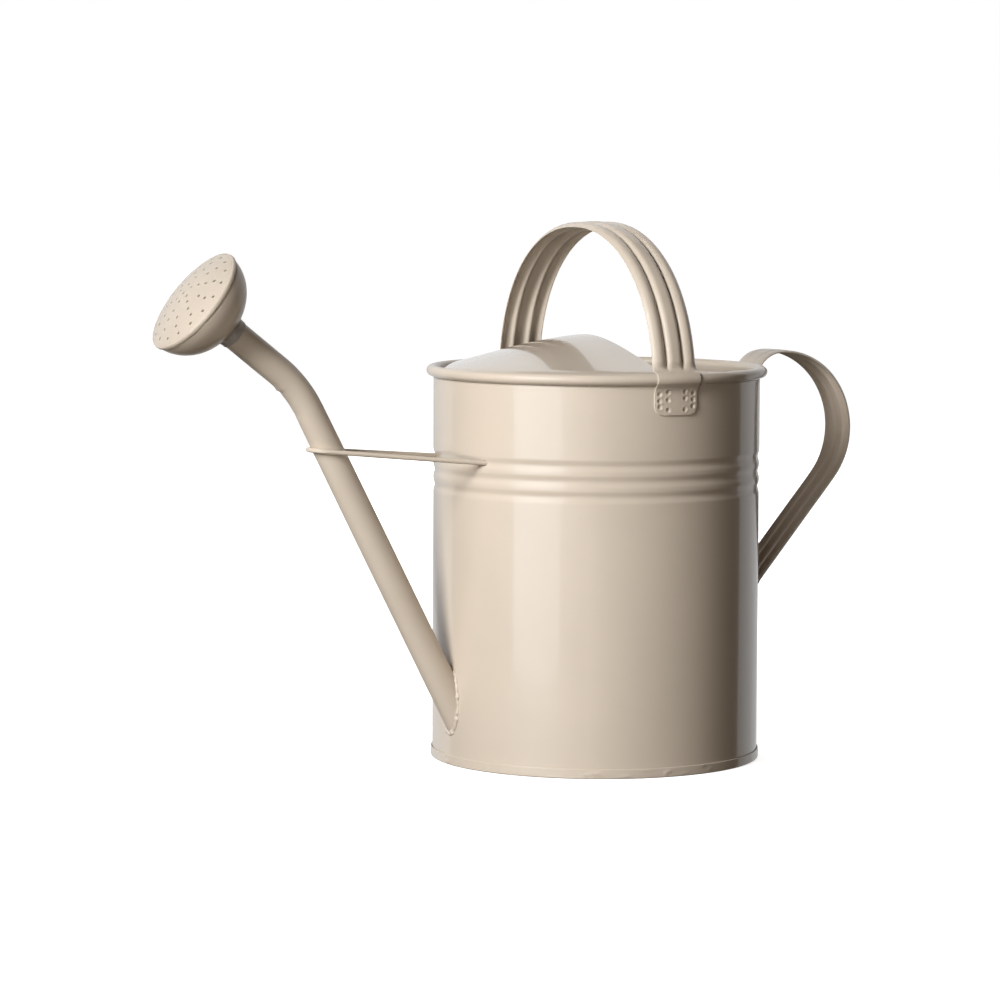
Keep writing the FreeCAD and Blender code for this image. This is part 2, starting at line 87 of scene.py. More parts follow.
def curve_through(points, step):
    """Centripetal Catmull-Rom curve through points, sampled about every step."""
    pts = np.asarray(points, float)
    pts = np.vstack([2 * pts[0] - pts[1], pts, 2 * pts[-1] - pts[-2]])
    out = []
    for i in range(1, len(pts) - 2):
        p0, p1, p2, p3 = pts[i - 1:i + 3]
        gaps = [max(np.linalg.norm(b - a), 1e-6) ** 0.5 for a, b in ((p0, p1), (p1, p2), (p2, p3))]
        t0, t1 = 0.0, gaps[0]
        t2 = t1 + gaps[1]
        t3 = t2 + gaps[2]
        count = max(2, int(math.ceil(np.linalg.norm(p2 - p1) / step)))
        for t in np.linspace(t1, t2, count, endpoint=False):
            a1 = (t1 - t) / (t1 - t0) * p0 + (t - t0) / (t1 - t0) * p1
            a2 = (t2 - t) / (t2 - t1) * p1 + (t - t1) / (t2 - t1) * p2
            a3 = (t3 - t) / (t3 - t2) * p2 + (t - t2) / (t3 - t2) * p3
            b1 = (t2 - t) / (t2 - t0) * a1 + (t - t0) / (t2 - t0) * a2
            b2 = (t3 - t) / (t3 - t1) * a2 + (t - t1) / (t3 - t1) * a3
            out.append((t2 - t) / (t2 - t1) * b1 + (t - t1) / (t2 - t1) * b2)
    out.append(pts[-2])
    return np.array(out)


def arc_points(centre, radius, start, end, count):
    """Points of a circular arc in a plane; angles in degrees."""
    angles = np.radians(np.linspace(start, end, count))
    return np.c_[centre[0] + radius * np.cos(angles), centre[1] + radius * np.sin(angles)]


def tangents(path):
    """Unit tangents of a sampled path."""
    return unit(np.gradient(path, axis=0))


def grid_faces(rows, columns, wrap_rows=False, wrap_columns=False):
    """Quads of a grid whose vertices are stored row by row."""
    faces = []
    for i in range(rows if wrap_rows else rows - 1):
        for j in range(columns if wrap_columns else columns - 1):
            a, b = i * columns, ((i + 1) % rows) * columns
            k = (j + 1) % columns
            faces.append((a + j, a + k, b + k, b + j))
    return faces


def new_object(name, data):
    """Object linked to the scene."""
    thing = bpy.data.objects.new(name, data)
    bpy.context.scene.collection.objects.link(thing)
    return thing


def make_piece(name, points, faces, body, node, material, slot, smooth_angle=None):
    """Mesh object from points in millimetres; it rides on a body and stands for a CAD node."""
    mesh = bpy.data.meshes.new(name)
    mesh.from_pydata((np.asarray(points, float) * MM).tolist(), [], faces)
    work = bmesh.new()
    work.from_mesh(mesh)
    bmesh.ops.remove_doubles(work, verts=work.verts, dist=1e-7)
    bmesh.ops.dissolve_degenerate(work, edges=work.edges, dist=1e-7)
    bmesh.ops.recalc_face_normals(work, faces=work.faces)
    work.to_mesh(mesh)
    work.free()
    piece = new_object(name, mesh)
    mesh.shade_smooth()
    if smooth_angle is not None:
        mesh.set_sharp_from_angle(angle=math.radians(smooth_angle))
    mesh.materials.append(material)
    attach(piece, body)
    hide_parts(node)
    return piece


def apply_modifiers(piece):
    """Replaces a piece's mesh by the result of its modifiers."""
    graph = bpy.context.evaluated_depsgraph_get()
    mesh = bpy.data.meshes.new_from_object(piece.evaluated_get(graph))
    piece.modifiers.clear()
    piece.data = mesh


def cut(piece, cutter):
    """Cuts a closed mesh out of a piece and removes the cutter."""
    modifier = piece.modifiers.new("cut", "BOOLEAN")
    modifier.operation = "DIFFERENCE"
    modifier.solver = "EXACT"
    modifier.object = cutter
    bpy.context.view_layer.update()
    apply_modifiers(piece)
    piece.data.set_sharp_from_angle(angle=math.radians(35))
    bpy.data.objects.remove(cutter)


def rods(name, ends, radius, sides=24):
    """One mesh of round bars, each from a start to an end point, for cutting holes."""
    mesh = bpy.data.meshes.new(name)
    work = bmesh.new()
    for start, end in ends:
        axis = Vector(end) - Vector(start)
        turn = axis.to_track_quat("Z", "Y").to_matrix().to_4x4()
        place = Matrix.Translation((Vector(start) + Vector(end)) / 2 * MM) @ turn
        bmesh.ops.create_cone(work, cap_ends=True, segments=sides, radius1=radius * MM, radius2=radius * MM,
                              depth=axis.length * MM, matrix=place)
    work.to_mesh(mesh)
    work.free()
    return new_object(name, mesh)


def thick_section(centreline, thickness):
    """Closed outline of a sheet of even thickness that follows a centreline in a plane."""
    along = tangents(centreline)
    normal = np.c_[along[:, 1], -along[:, 0]]
    return np.vstack([centreline + normal * thickness / 2, (centreline - normal * thickness / 2)[::-1]])


def unevenness(angle, height, seed, size):
    """Gentle unevenness of hand-finished sheet, as a sum of long waves, in millimetres."""
    draw = np.random.default_rng(seed)
    total = np.zeros(np.broadcast(angle, height).shape)
    for _ in range(9):
        around = draw.integers(2, 9)
        up = draw.uniform(0.004, 0.03)
        total += np.sin(around * angle + draw.uniform(0, 6.3)) * np.sin(up * height + draw.uniform(0, 6.3))
    return total * size / 3.0


def turned_piece(name, section, segments, wave, *rest):
    """Piece turned round Z from a closed section of (radius, height) points."""
    section = np.asarray(section, float)
    angle = np.linspace(0, 2 * math.pi, segments, endpoint=False)[:, None]
    r = section[None, :, 0] + np.where(section[None, :, 0] > 1e-6, wave(angle, section[None, :, 1]), 0.0)
    z = np.broadcast_to(section[None, :, 1], r.shape)
    points = np.stack([r * np.cos(angle), r * np.sin(angle), z], -1).reshape(-1, 3)
    faces = grid_faces(segments, len(section), True, True)
    return make_piece(name, points, faces, *rest)


# ---------------------------------------------------------------- materials
def node_tree(name):
    """New node material; returns it with its tree, shader and object coordinates."""
    material = bpy.data.materials.new(name)
    material.use_nodes = True
    tree = material.node_tree
    shader = tree.nodes["Principled BSDF"]
    coordinates = tree.nodes.new("ShaderNodeTexCoord")
    return material, tree, shader, coordinates.outputs["Object"]


def noise(tree, vector, scale, detail=2.0, roughness=0.5, stretch=None):
    """Noise texture in object space; stretch scales the three axes."""
    if stretch is not None:
        mapping = tree.nodes.new("ShaderNodeMapping")
        mapping.inputs["Scale"].default_value = stretch
        tree.links.new(vector, mapping.inputs["Vector"])
        vector = mapping.outputs["Vector"]
    texture = tree.nodes.new("ShaderNodeTexNoise")
    texture.inputs["Scale"].default_value = scale
    texture.inputs["Detail"].default_value = detail
    texture.inputs["Roughness"].default_value = roughness
    tree.links.new(vector, texture.inputs["Vector"])
    return texture.outputs["Fac"]


def ramp(tree, value, stops):
    """Colour ramp; stops are (position, colour)."""
    node = tree.nodes.new("ShaderNodeValToRGB")
    elements = node.color_ramp.elements
    while len(elements) < len(stops):
        elements.new(0.5)
    for element, (position, colour) in zip(elements, stops):
        element.position = position
        element.color = (*colour, 1.0) if len(colour) == 3 else (colour[0],) * 3 + (1.0,)
    tree.links.new(value, node.inputs["Fac"])
    return node.outputs["Color"]


def mix(tree, kind, factor, first, second):
    """Colour mix; factor and colours are sockets or values."""
    node = tree.nodes.new("ShaderNodeMix")
    node.data_type = "RGBA"
    node.blend_type = kind
    for socket, value in ((node.inputs[0], factor), (node.inputs[6], first), (node.inputs[7], second)):
        if isinstance(value, bpy.types.NodeSocket):
            tree.links.new(value, socket)
        elif socket.type == "RGBA":
            socket.default_value = (*value, 1.0)
        else:
            socket.default_value = value
    return node.outputs[2]


def spread(tree, value, low, high):
    """Maps a 0..1 value to a range."""
    node = tree.nodes.new("ShaderNodeMapRange")
    node.inputs["To Min"].default_value = low
    node.inputs["To Max"].default_value = high
    tree.links.new(value, node.inputs["Value"])
    return node.outputs["Result"]


def bump(tree, shader, layers):
    """Chain of bump nodes; layers are (height socket, strength, distance in metres)."""
    normal = None
    for height, strength, distance in layers:
        node = tree.nodes.new("ShaderNodeBump")
        node.inputs["Strength"].default_value = strength
        node.inputs["Distance"].default_value = distance
        tree.links.new(height, node.inputs["Height"])
        if normal is not None:
            tree.links.new(normal, node.inputs["Normal"])
        normal = node.outputs["Normal"]
    tree.links.new(normal, shader.inputs["Normal"])


PAINT = (0.585, 0.512, 0.428)
PAINT_WARM = (0.600, 0.520, 0.430)
PAINT_DULL = (0.562, 0.491, 0.410)


def paint(name, gloss=0.32, coat=0.55, lumps=0.12, edge_wear_and_highlight=0.25, coat_rough=0.07,
          hollow_shade=0.80, tone=1.0):
    """Beige paint over steel: soft orange peel, slight clouding, painted shade in hollow places, and a
    lighter colour on edges that is partly rubbed wear and partly painted highlight.

    gloss and coat_rough are the roughness of the paint and of the clear coat on it; hollow_shade is
    how much of the colour is left in hollow places, as painted shade there, and tone darkens the whole, as
    painted shade where it is below 1.
    """
    material, tree, shader, where = node_tree(name)
    cloud = noise(tree, where, 14.0, 3.0, 0.55)
    colour = ramp(tree, cloud, ((0.30, PAINT_DULL), (0.55, PAINT), (0.75, PAINT_WARM)))
    # tone below 1 darkens the whole colour: painted shade.
    colour = mix(tree, "MULTIPLY", 1.0, colour, (tone, tone, tone))
    specks = ramp(tree, noise(tree, where, 900.0, 2.0, 0.6), ((0.18, (0.72,)), (0.30, (1.0,))))
    colour = mix(tree, "MULTIPLY", 0.35, colour, specks)
    edge = tree.nodes.new("ShaderNodeNewGeometry").outputs["Pointiness"]
    # Lighter colour on sharp edges, in patches: partly rubbed wear, partly painted highlight.
    ridges = ramp(tree, edge, ((0.52, (0.0,)), (0.60, (1.0,))))
    patchy = ramp(tree, noise(tree, where, 220.0, 4.0, 0.7), ((0.50, (0.0,)), (0.68, (1.0,))))
    rubbed_and_highlit = mix(tree, "MULTIPLY", 1.0, ridges, patchy)
    wear_and_highlight = mix(tree, "MIX", edge_wear_and_highlight, (0.0, 0.0, 0.0), rubbed_and_highlit)
    colour = mix(tree, "MIX", wear_and_highlight, colour, (0.66, 0.585, 0.50))
    # Darker colour in hollow places: painted shade.
    painted_hollow_shade = ramp(tree, edge, ((0.41, (hollow_shade,)), (0.492, (1.0,))))
    colour = mix(tree, "MULTIPLY", 0.8, colour, painted_hollow_shade)
    tree.links.new(colour, shader.inputs["Base Color"])
    smear = noise(tree, where, 30.0, 4.0, 0.6, stretch=(1.0, 1.0, 0.25))
    tree.links.new(spread(tree, smear, gloss - 0.06, gloss + 0.08), shader.inputs["Roughness"])
    shader.inputs["IOR"].default_value = 1.5
    shader.inputs["Coat Weight"].default_value = coat
    shader.inputs["Coat Roughness"].default_value = coat_rough
    peel = noise(tree, where, 420.0, 2.0, 0.5)
    dents = noise(tree, where, 45.0, 2.0, 0.5, stretch=(1.0, 1.0, 0.3))
    bump(tree, shader, ((dents, 0.05, 0.0006), (peel, lumps, 0.00012)))
    return material


def zinc(name, base, rough=0.42, metal=0.6):
    """Rubbed zinc: cloudy grey metal with fine scratches round the piece."""
    material, tree, shader, where = node_tree(name)
    cloud = noise(tree, where, 160.0, 4.0, 0.6)
    dark = tuple(0.75 * c for c in base)
    light = tuple(1.18 * c for c in base)
    tree.links.new(ramp(tree, cloud, ((0.3, dark), (0.7, light))), shader.inputs["Base Color"])
    shader.inputs["Metallic"].default_value = metal
    scratches = noise(tree, where, 700.0, 3.0, 0.7, stretch=(1.0, 0.2, 1.0))
    tree.links.new(spread(tree, scratches, rough - 0.1, rough + 0.15), shader.inputs["Roughness"])
    bump(tree, shader, ((scratches, 0.15, 0.0001),))
    return material


BODY_PAINT = paint("beige_paint")
COVER_PAINT = paint("beige_paint_on_cover", gloss=0.20, coat=1.0, lumps=0.06, coat_rough=0.05)
# The strap's flute grooves get deeper painted shade.
STRAP_PAINT = paint("beige_paint_on_strap", coat=0.45, edge_wear_and_highlight=0.35, coat_rough=0.1, hollow_shade=0.62)
SPOUT_PAINT = paint("beige_paint_on_tube", gloss=0.36, coat=0.25, coat_rough=0.12)
ROSE_PAINT = paint("beige_paint_on_rose", gloss=0.38, coat=0.20, edge_wear_and_highlight=0.35, coat_rough=0.12)
# tone 0.86 darkens this copy of the paint: painted shade on the rose face.
FACE_PAINT = paint("grainy_beige_paint", gloss=0.40, coat=0.25, lumps=2.2, edge_wear_and_highlight=0.45, coat_rough=0.15,
                   tone=0.86)
SOLDER_PAINT = paint("beige_paint_on_solder", gloss=0.20, coat=0.8, lumps=0.35, edge_wear_and_highlight=0.2)
WIRE_PAINT = paint("beige_paint_on_wire", gloss=0.34, coat=0.3, edge_wear_and_highlight=0.3, coat_rough=0.12)
COLLAR_ZINC = zinc("rubbed_zinc", base=(0.45, 0.42, 0.41), rough=0.45, metal=0.25)
WIRE_ZINC = zinc("galvanised_wire", base=(0.5, 0.5, 0.5), metal=0.9)


# ---------------------------------------------------------------- can
GROOVE_Z = (184.0, 194.15, 204.3)
GROOVE_DEPTH = 0.95
GROOVE_WIDTH = 9.6
SPOUT_CORNER = Vector((-221.9, 0.0, 255.2))
LOWER_RISE = math.radians(62.2)
LOWER_AXIS = Vector((math.cos(LOWER_RISE), 0.0, -math.sin(LOWER_RISE)))
SPOUT_BORE_R = 9.4        # of the hole in the wall behind the spout
TIP_R = 9.7
# Distance from the corner and outside radius of the lower tube.
TAPER = ((0.0, 9.7), (17.3, 9.72), (70.0, 10.0), (110.0, 10.1), (278.0, 10.2))


def groove_depth(z):
    """How far the wall is pressed in at a height."""
    depth = np.zeros_like(z)
    for centre in GROOVE_Z:
        reach = np.clip((z - centre) / GROOVE_WIDTH, -0.5, 0.5)
        depth += GROOVE_DEPTH * (0.5 + 0.5 * np.cos(2 * math.pi * reach)) ** 1.15
    return depth


def wall_centreline():
    """Centreline of the wall's sheet from its foot to the free end of the curl."""
    low = np.arange(SHEET + 0.05, 174.0, 3.0)
    grooved = np.arange(174.0, 214.0, 0.4)
    high = np.arange(214.0, 254.0, 2.0)
    z = np.r_[low, grooved, high]
    straight = np.c_[WALL_R - SHEET / 2 - groove_depth(z), z]
    curl_line_r = TUBE_R - SHEET / 2
    curl = arc_points((CURL_R, CURL_Z), curl_line_r, 200, -100, 60)
    neck = curve_through([straight[-1], (WALL_R - 0.45, 256.2), curl[0] + (0.55, -1.6), curl[0]], 0.3)
    return np.vstack([straight, neck[1:-1], curl])


def build_wall():
    """Wall with grooves and curled rim, and the holes for the spout and the brace wire."""
    section = thick_section(wall_centreline(), SHEET)

    def wave(angle, z):
        return unevenness(angle, z, 3, 0.05) * smoothstep(z, 8, 40) * (1 - smoothstep(z, 225, 250))

    wall = turned_piece("can_wall", section, 480, wave, "can", "body_wall", BODY_PAINT, "painted_steel")
    bore_start = SPOUT_CORNER + LOWER_AXIS * 200
    bore_end = SPOUT_CORNER + LOWER_AXIS * 275
    cut(wall, rods("spout_hole", [(bore_start, bore_end)], SPOUT_BORE_R, 64))
    holes = []
    for side in (1, -1):
        hole, axis = brace_hole(side)
        holes.append((hole - axis * 8, hole + axis * 8))
    cut(wall, rods("brace_holes", holes, BRACE_HOLE_R, 24))


def build_seam():
    """Flat lap seam down the back of the wall, beside the rear handle."""
    width, height, turn = 7.0, 0.6, math.radians(15.0)
    half = width / 2 / WALL_R
    z = np.r_[np.arange(HEM_TOP + 0.3, 174, 6.0), np.arange(174, 214, 0.5), np.arange(214, 256.1, 4.0)]
    across = np.array([-1.0, -0.97, -0.9, -0.5, 0.0, 0.5, 0.9, 0.97, 1.0])
    rise = np.array([-0.5, 0.0, height * 0.85, height, height, height, height * 0.85, 0.0, -0.5])
    radius = WALL_R - groove_depth(z)[:, None] * 0.9 + rise[None, :]
    angle = turn + half * across[None, :]
    level = np.broadcast_to(z[:, None], radius.shape)
    points = np.stack([radius * np.cos(angle), radius * np.sin(angle), level], -1)
    rows = len(z)
    columns = len(across)
    faces = grid_faces(rows, columns, False, True)
    faces.append(tuple(range(columns))[::-1])
    faces.append(tuple((rows - 1) * columns + j for j in range(columns)))
    make_piece("lap_seam", points.reshape(-1, 3), faces, "can", "body_wall", BODY_PAINT,
               "painted_steel", 40)


def build_base():
    """Flat bottom with its edge turned up round the wall, a little lumpy with paint."""
    outer = arc_points((HEM_R - 0.9, 0.9), 0.9, -90, 0, 7)
    upper = arc_points((HEM_R - 0.45, HEM_TOP - 0.45), 0.45, 0, 110, 6)
    inner = WALL_R + 0.05
    flats = [(r, 0.0) for r in (0.0, 30.0, 60.0, 90.0, 105.0)]
    side = [(HEM_R, z) for z in np.linspace(1.3, HEM_TOP - 0.8, 9)]
    back = [(inner, HEM_TOP - 0.5), (inner, 3.0), (inner, SHEET)] + [(r, SHEET) for r in (90.0, 45.0, 0.0)]
    section = np.vstack([flats, outer, side, upper, back])
    draw = np.random.default_rng(11)
    blobs = [(draw.uniform(0, 2 * math.pi), draw.uniform(1.5, 6.2), draw.uniform(0.012, 0.03),
              draw.uniform(0.22, 0.50)) for _ in range(46)]

    def wave(angle, z):
        lump = unevenness(angle, z * 8, 5, 0.10)
        for at, height, reach, rise in blobs:
            turn = (angle - at + math.pi) % (2 * math.pi) - math.pi
            lump = lump + rise * np.exp(-(turn / reach) ** 2 - ((z - height) / 1.1) ** 2)
        return np.where((z > 1.0), np.clip(lump, -0.12, 0.55), 0.0)

    turned_piece("can_base", section, 720, wave, "can", "base_disc", BODY_PAINT, "painted_steel")


# ---------------------------------------------------------------- splash cover
COVER_TOP = 285.6
COVER_CROWN_R = 40.0
COVER_SLOPE = 0.31
COVER_EDGE_X = -6.0
COVER_RIM_R = 107.0
COVER_FOLD_R = 0.85       # of the hem along the free edge


def dome_height(x, y):
    """Height of the cover's outer surface: a round crown, then almost a cone, then a shoulder."""
    r = np.hypot(x, y)
    fall = COVER_SLOPE * COVER_CROWN_R * (np.hypot(1.0, r / COVER_CROWN_R) - 1.0)
    return COVER_TOP - fall - np.clip(r - 95.0, 0.0, None) ** 2 / 36.0


def build_cover():
    """Half dome with a folded free edge and a skirt inside the wall."""
    start = math.acos(COVER_EDGE_X / COVER_RIM_R)
    columns = 161
    turn = np.linspace(start, 2 * math.pi - start, columns)
    share = np.linspace(1.0, -1.0, columns)
    edge_y = COVER_RIM_R * math.sin(start) * np.sin(share * math.pi / 2 * 0.8) / math.sin(math.pi / 2 * 0.8)
    far = np.stack([COVER_RIM_R * np.cos(turn), COVER_RIM_R * np.sin(turn)], 1)
    near = np.stack([np.full_like(edge_y, COVER_EDGE_X - COVER_FOLD_R), edge_y], 1)
    rows = []
    r = COVER_FOLD_R
    fold = [(-6.0, 2 * r + 0.02), (-3.5, 2 * r), (-1.6, 2 * r), (-r, 2 * r)]
    fold += [(r * math.sin(math.radians(a)) - r, r + r * math.cos(math.radians(a)))
             for a in (25, 50, 75, 90, 110, 135, 160)]
    for x_shift, depth in fold:
        x = np.full_like(edge_y, COVER_EDGE_X + x_shift)
        y = edge_y * (1.0 - 0.012 * depth)
        rows.append(np.stack([x, y, dome_height(x, y) - depth], 1))
    for t in np.linspace(0.0, 1.0, 70) ** 1.15:
        flat = near * (1 - t) + far * t
        rows.append(np.stack([flat[:, 0], flat[:, 1], dome_height(flat[:, 0], flat[:, 1])], 1))
    skirt_r = WALL_R - SHEET - 0.1
    rim_z = float(dome_height(COVER_RIM_R, 0.0))
    bend = curve_through([(COVER_RIM_R, rim_z), (skirt_r - 0.9, rim_z - 1.5), (skirt_r, rim_z - 4.0),
                          (skirt_r, COVER_BOX[0].z)], 1.0)[1:]
    for r, z in bend:
        rows.append(np.stack([r * np.cos(turn), r * np.sin(turn), np.full_like(turn, z)], 1))
    points = np.array(rows)
    faces = grid_faces(len(rows), columns)
    cover = make_piece("splash_cover_shell", points.reshape(-1, 3), faces, "can", "splash_cover",
                       COVER_PAINT, "painted_steel")
    solid = cover.modifiers.new("sheet", "SOLIDIFY")
    solid.thickness = 0.78 * MM
    solid.offset = -1.0
    solid.use_even_offset = False
    face_up(cover)
    bpy.context.view_layer.update()
    apply_modifiers(cover)


def face_up(piece):
    """Turns an open sheet's faces so that the largest share of them looks up."""
    total = sum(face.normal.z * face.area for face in piece.data.polygons)
    if total < 0:
        piece.data.flip_normals()


# ---------------------------------------------------------------- strap handles
# Distance from the strap's middle and height of its surface, for one half of the section.
FLUTE_HALF = ((0.0, 1.25), (3.2, 1.0), (4.5, 0.0), (5.5, -1.7), (6.5, -1.7), (7.6, -0.3), (9.0, 0.5),
              (11.2, 0.8), (13.4, 0.1), (15.5, -1.8))
STRAP_SHEET = 1.0
PLATE_CORNER = 6.0


def flute_profile(count):
    """Offsets (-1..1) across a strap and heights of its fluted surface, edges finely sampled."""
    half = np.array(FLUTE_HALF)
    full = np.vstack([half[:0:-1] * (-1, 1), half])
    line = curve_through(full, 0.25)
    share = np.sin(np.linspace(-1, 1, count) * math.pi / 2 * 0.86) / math.sin(math.pi / 2 * 0.86)
    return share, np.interp(share * FLUTE_HALF[-1][0], line[:, 0], line[:, 1])


def strap_piece(name, path, across, inward, width, flute, wrap, dents, *rest):
    """Fluted strap of even thickness along a path of outer-surface points.

    flute and wrap are, for each station, how much of the fluted section and of the can's
    roundness it has; width is its width; dents adds to the height of a surface point.
    """
    count = 67
    share, heights = flute_profile(count)
    along = tangents(path)
    normal = unit(np.cross(along, across))
    if np.dot(normal[len(path) // 2], path[len(path) // 2] - path.mean(0)) < 0:
        normal = -normal
    rings = []
    for i, point in enumerate(path):
        offset = share * width[i] / 2
        height = flute[i] * heights
        reach = point + np.outer(offset, across)
        side = reach @ across
        depth = wrap[i] * (WALL_R - np.sqrt(WALL_R ** 2 - side ** 2))
        height = height + dents(reach, point)
        surface = reach + np.outer(height - STRAP_SHEET / 2, normal[i]) + np.outer(depth, inward(point))
        slope = np.gradient(np.c_[offset, height - depth * (np.dot(-inward(point), normal[i]))], axis=0)
        slope = slope / np.linalg.norm(slope, axis=1, keepdims=True)
        lean = np.outer(-slope[:, 1], across) + np.outer(slope[:, 0], normal[i])
        top = surface + lean * STRAP_SHEET / 2
        bottom = surface - lean * STRAP_SHEET / 2
        ends = []
        for edge, sign in ((count - 1, 1), (0, -1)):
            out = across * sign * slope[edge, 0] + normal[i] * sign * slope[edge, 1]
            for angle in ((60, 0, -60) if sign > 0 else (-60, 0, 60)):
                a = math.radians(angle)
                way = lean[edge] * math.sin(a) + out * math.cos(a)
                ends.append(surface[edge] + way * STRAP_SHEET / 2)
        rings.append(np.vstack([top, ends[:3], bottom[::-1], ends[3:]]))
    rings = np.array(rings)
    rows, columns = rings.shape[:2]
    faces = grid_faces(rows, columns, False, True)
    for row, flip in ((0, True), (rows - 1, False)):
        faces += end_cap(row * columns, count, flip)
    return make_piece(name, rings.reshape(-1, 3), faces, *rest, smooth_angle=50)


def end_cap(base, count, flip):
    """Quads that close the end of a strap between its outer and inner surface."""
    faces = []
    for j in range(count - 1):
        top = (base + j, base + j + 1)
        low = (base + 2 * count + 2 - j, base + 2 * count + 1 - j)
        faces.append((top[0], top[1], low[1], low[0]))
    right = [base + count - 1 + k for k in range(5)]
    left = [base + 2 * count + 2 + k for k in range(4)] + [base]
    faces.append(tuple(right))
    faces.append(tuple(left))
    return [f[::-1] for f in faces] if flip else faces


def plate_width(distance, width):
    """Width of a foot plate at a distance from its end, with round corners."""
    gap = np.clip(distance, 0.0, PLATE_CORNER)
    return width - 2 * (PLATE_CORNER - np.sqrt(PLATE_CORNER ** 2 - (PLATE_CORNER - gap) ** 2))


def respaced(path, spacing):
    """Points along a path at a spacing that depends on the place; spacing(point) in millimetres."""
    gaps = np.linalg.norm(np.diff(path, axis=0), axis=1)
    total = np.r_[0, np.cumsum(gaps)]
    weight = np.r_[0, np.cumsum(gaps / np.array([spacing(p) for p in path[1:]]))]
    count = int(math.ceil(weight[-1])) + 1
    places = np.interp(np.linspace(0, weight[-1], count), weight, total)
    columns = [np.interp(places, total, column) for column in path.T]
    return np.column_stack(columns), places, total[-1]


BAIL_X = (BAIL_BOX[0].x + BAIL_BOX[1].x) / 2
BAIL_WIDTH = BAIL_BOX[1].x - BAIL_BOX[0].x
BAIL_HALF_WIDTH = 110.2
BAIL_HEIGHT = 109.0
BAIL_POWER = 2.13
BAIL_CENTRE_Z = 251.0
BAIL_LOW_Z = BAIL_BOX[0].z
PLATE_Y = WALL_R + 0.05 + STRAP_SHEET
ROLL_WRAP_R = 4.95
WELD_R = 1.35
# Spot-weld dents of a foot plate: offset across the strap and height.
WELDS = ((-12.4, 251.3), (-12.3, 246.8), (-12.1, 242.9), (-6.2, 247.4), (-6.0, 240.9), (-6.4, 252.6),
         (6.3, 248.3), (6.2, 241.1), (6.0, 252.9), (12.4, 251.7), (12.5, 247.5), (12.2, 243.2))


def bail_foot_line():
    """Outer surface of one foot: up the wall, over the curled rim and up to the arch."""
    lower = [(PLATE_Y, BAIL_LOW_Z), (PLATE_Y, 243.0), (PLATE_Y, 249.5), (PLATE_Y + 0.35, 252.6),
             (PLATE_Y + 1.4, 255.0), (PLATE_Y + 2.9, 256.7)]
    over = arc_points((CURL_R, CURL_Z), ROLL_WRAP_R, -25, 72, 5).tolist()
    upper = [(110.35, 266.4), (109.3, 267.8), (108.7, 270.0)]
    return lower + over + upper


def build_bail():
    """Arched top handle with both feet folded over the rim and spot welded."""
    foot = bail_foot_line()
    turn = np.radians(np.linspace(10.4, 169.6, 44))
    power = 2 / BAIL_POWER
    arch = np.c_[np.sign(np.cos(turn)) * BAIL_HALF_WIDTH * np.abs(np.cos(turn)) ** power,
                 BAIL_CENTRE_Z + BAIL_HEIGHT * np.sin(turn) ** power].tolist()
    outline = foot + arch + [(-y, z) for y, z in foot[::-1]]
    dense = curve_through(outline, 0.3)
    flat, place, length = respaced(dense, lambda p: 0.45 if p[1] < 274 else 1.6)
    path = np.c_[np.full(len(flat), BAIL_X), flat]
    height = path[:, 2]
    flute = smoothstep(height, 265.5, 273.0)
    wrap = 1.0 - smoothstep(height, 264.5, 272.0)
    width = plate_width(np.minimum(place, length - place), BAIL_WIDTH)
    axis = np.array([1.0, 0.0, 0.0])

    def inward(point):
        return np.array([0.0, -math.copysign(1.0, point[1]), 0.0])

    def dents(reach, point):
        total = np.zeros(len(reach))
        if point[2] < 256:
            for offset, z in WELDS:
                gap = ((reach[:, 0] - BAIL_X - offset) ** 2 + (point[2] - z) ** 2) / WELD_R ** 2
                total -= 0.80 * np.exp(-gap ** 1.5)
                total += 0.16 * np.exp(-((np.sqrt(gap) - 1.5) / 0.35) ** 2)
        return total

    strap_piece("arched_handle", path, axis, inward, width, flute, wrap, dents, "can", "top_handle",
                STRAP_PAINT, "painted_steel")


REAR_WIDTH = REAR_BOX[1].y - REAR_BOX[0].y
REAR_PLATE_TOP_Z = 235.0
REAR_PLATE_LOW_Z = REAR_BOX[0].z
REAR_FRONT_ARC = ((137.3, 251.0), 21.0)
REAR_BACK_ARC = ((139.6, 217.5), 54.5)
REAR_LOW_R = 53.0
REAR_TURN = 40.6


def rear_outline():
    """Outer surface of the rear handle, from its upper plate round to its lower plate."""
    wall = WALL_R + 0.05
    start = [(wall, REAR_PLATE_TOP_Z), (wall, 239.5), (wall, 244.0), (wall + 0.5, 247.0),
             (wall + 2.2, 250.2), (wall + 4.0, 253.6)]
    front = arc_points(*REAR_FRONT_ARC, 160, 96, 5).tolist()
    back = arc_points(*REAR_BACK_ARC, 84, 0, 12).tolist()
    low_centre = (REAR_BACK_ARC[0][0] + REAR_BACK_ARC[1] - REAR_LOW_R, REAR_BACK_ARC[0][1])
    low = arc_points(low_centre, REAR_LOW_R, -8, -REAR_TURN, 5)
    turn = math.radians(REAR_TURN)
    plate = wall + STRAP_SHEET
    run = (low[-1][0] - plate) / math.sin(turn)
    ray = np.array([-math.sin(turn), -math.cos(turn)])
    straight = [(low[-1] + ray * run * part).tolist() for part in (0.25, 0.5, 0.75, 0.9, 0.955)]
    meet = low[-1] + ray * run
    foot = [(plate + 0.9, meet[1] + 0.6), (plate + 0.15, meet[1] - 2.6), (plate, meet[1] - 6.0),
            (plate, REAR_PLATE_LOW_Z + 7.0), (plate, REAR_PLATE_LOW_Z)]
    return start + front + back + low.tolist() + straight + foot


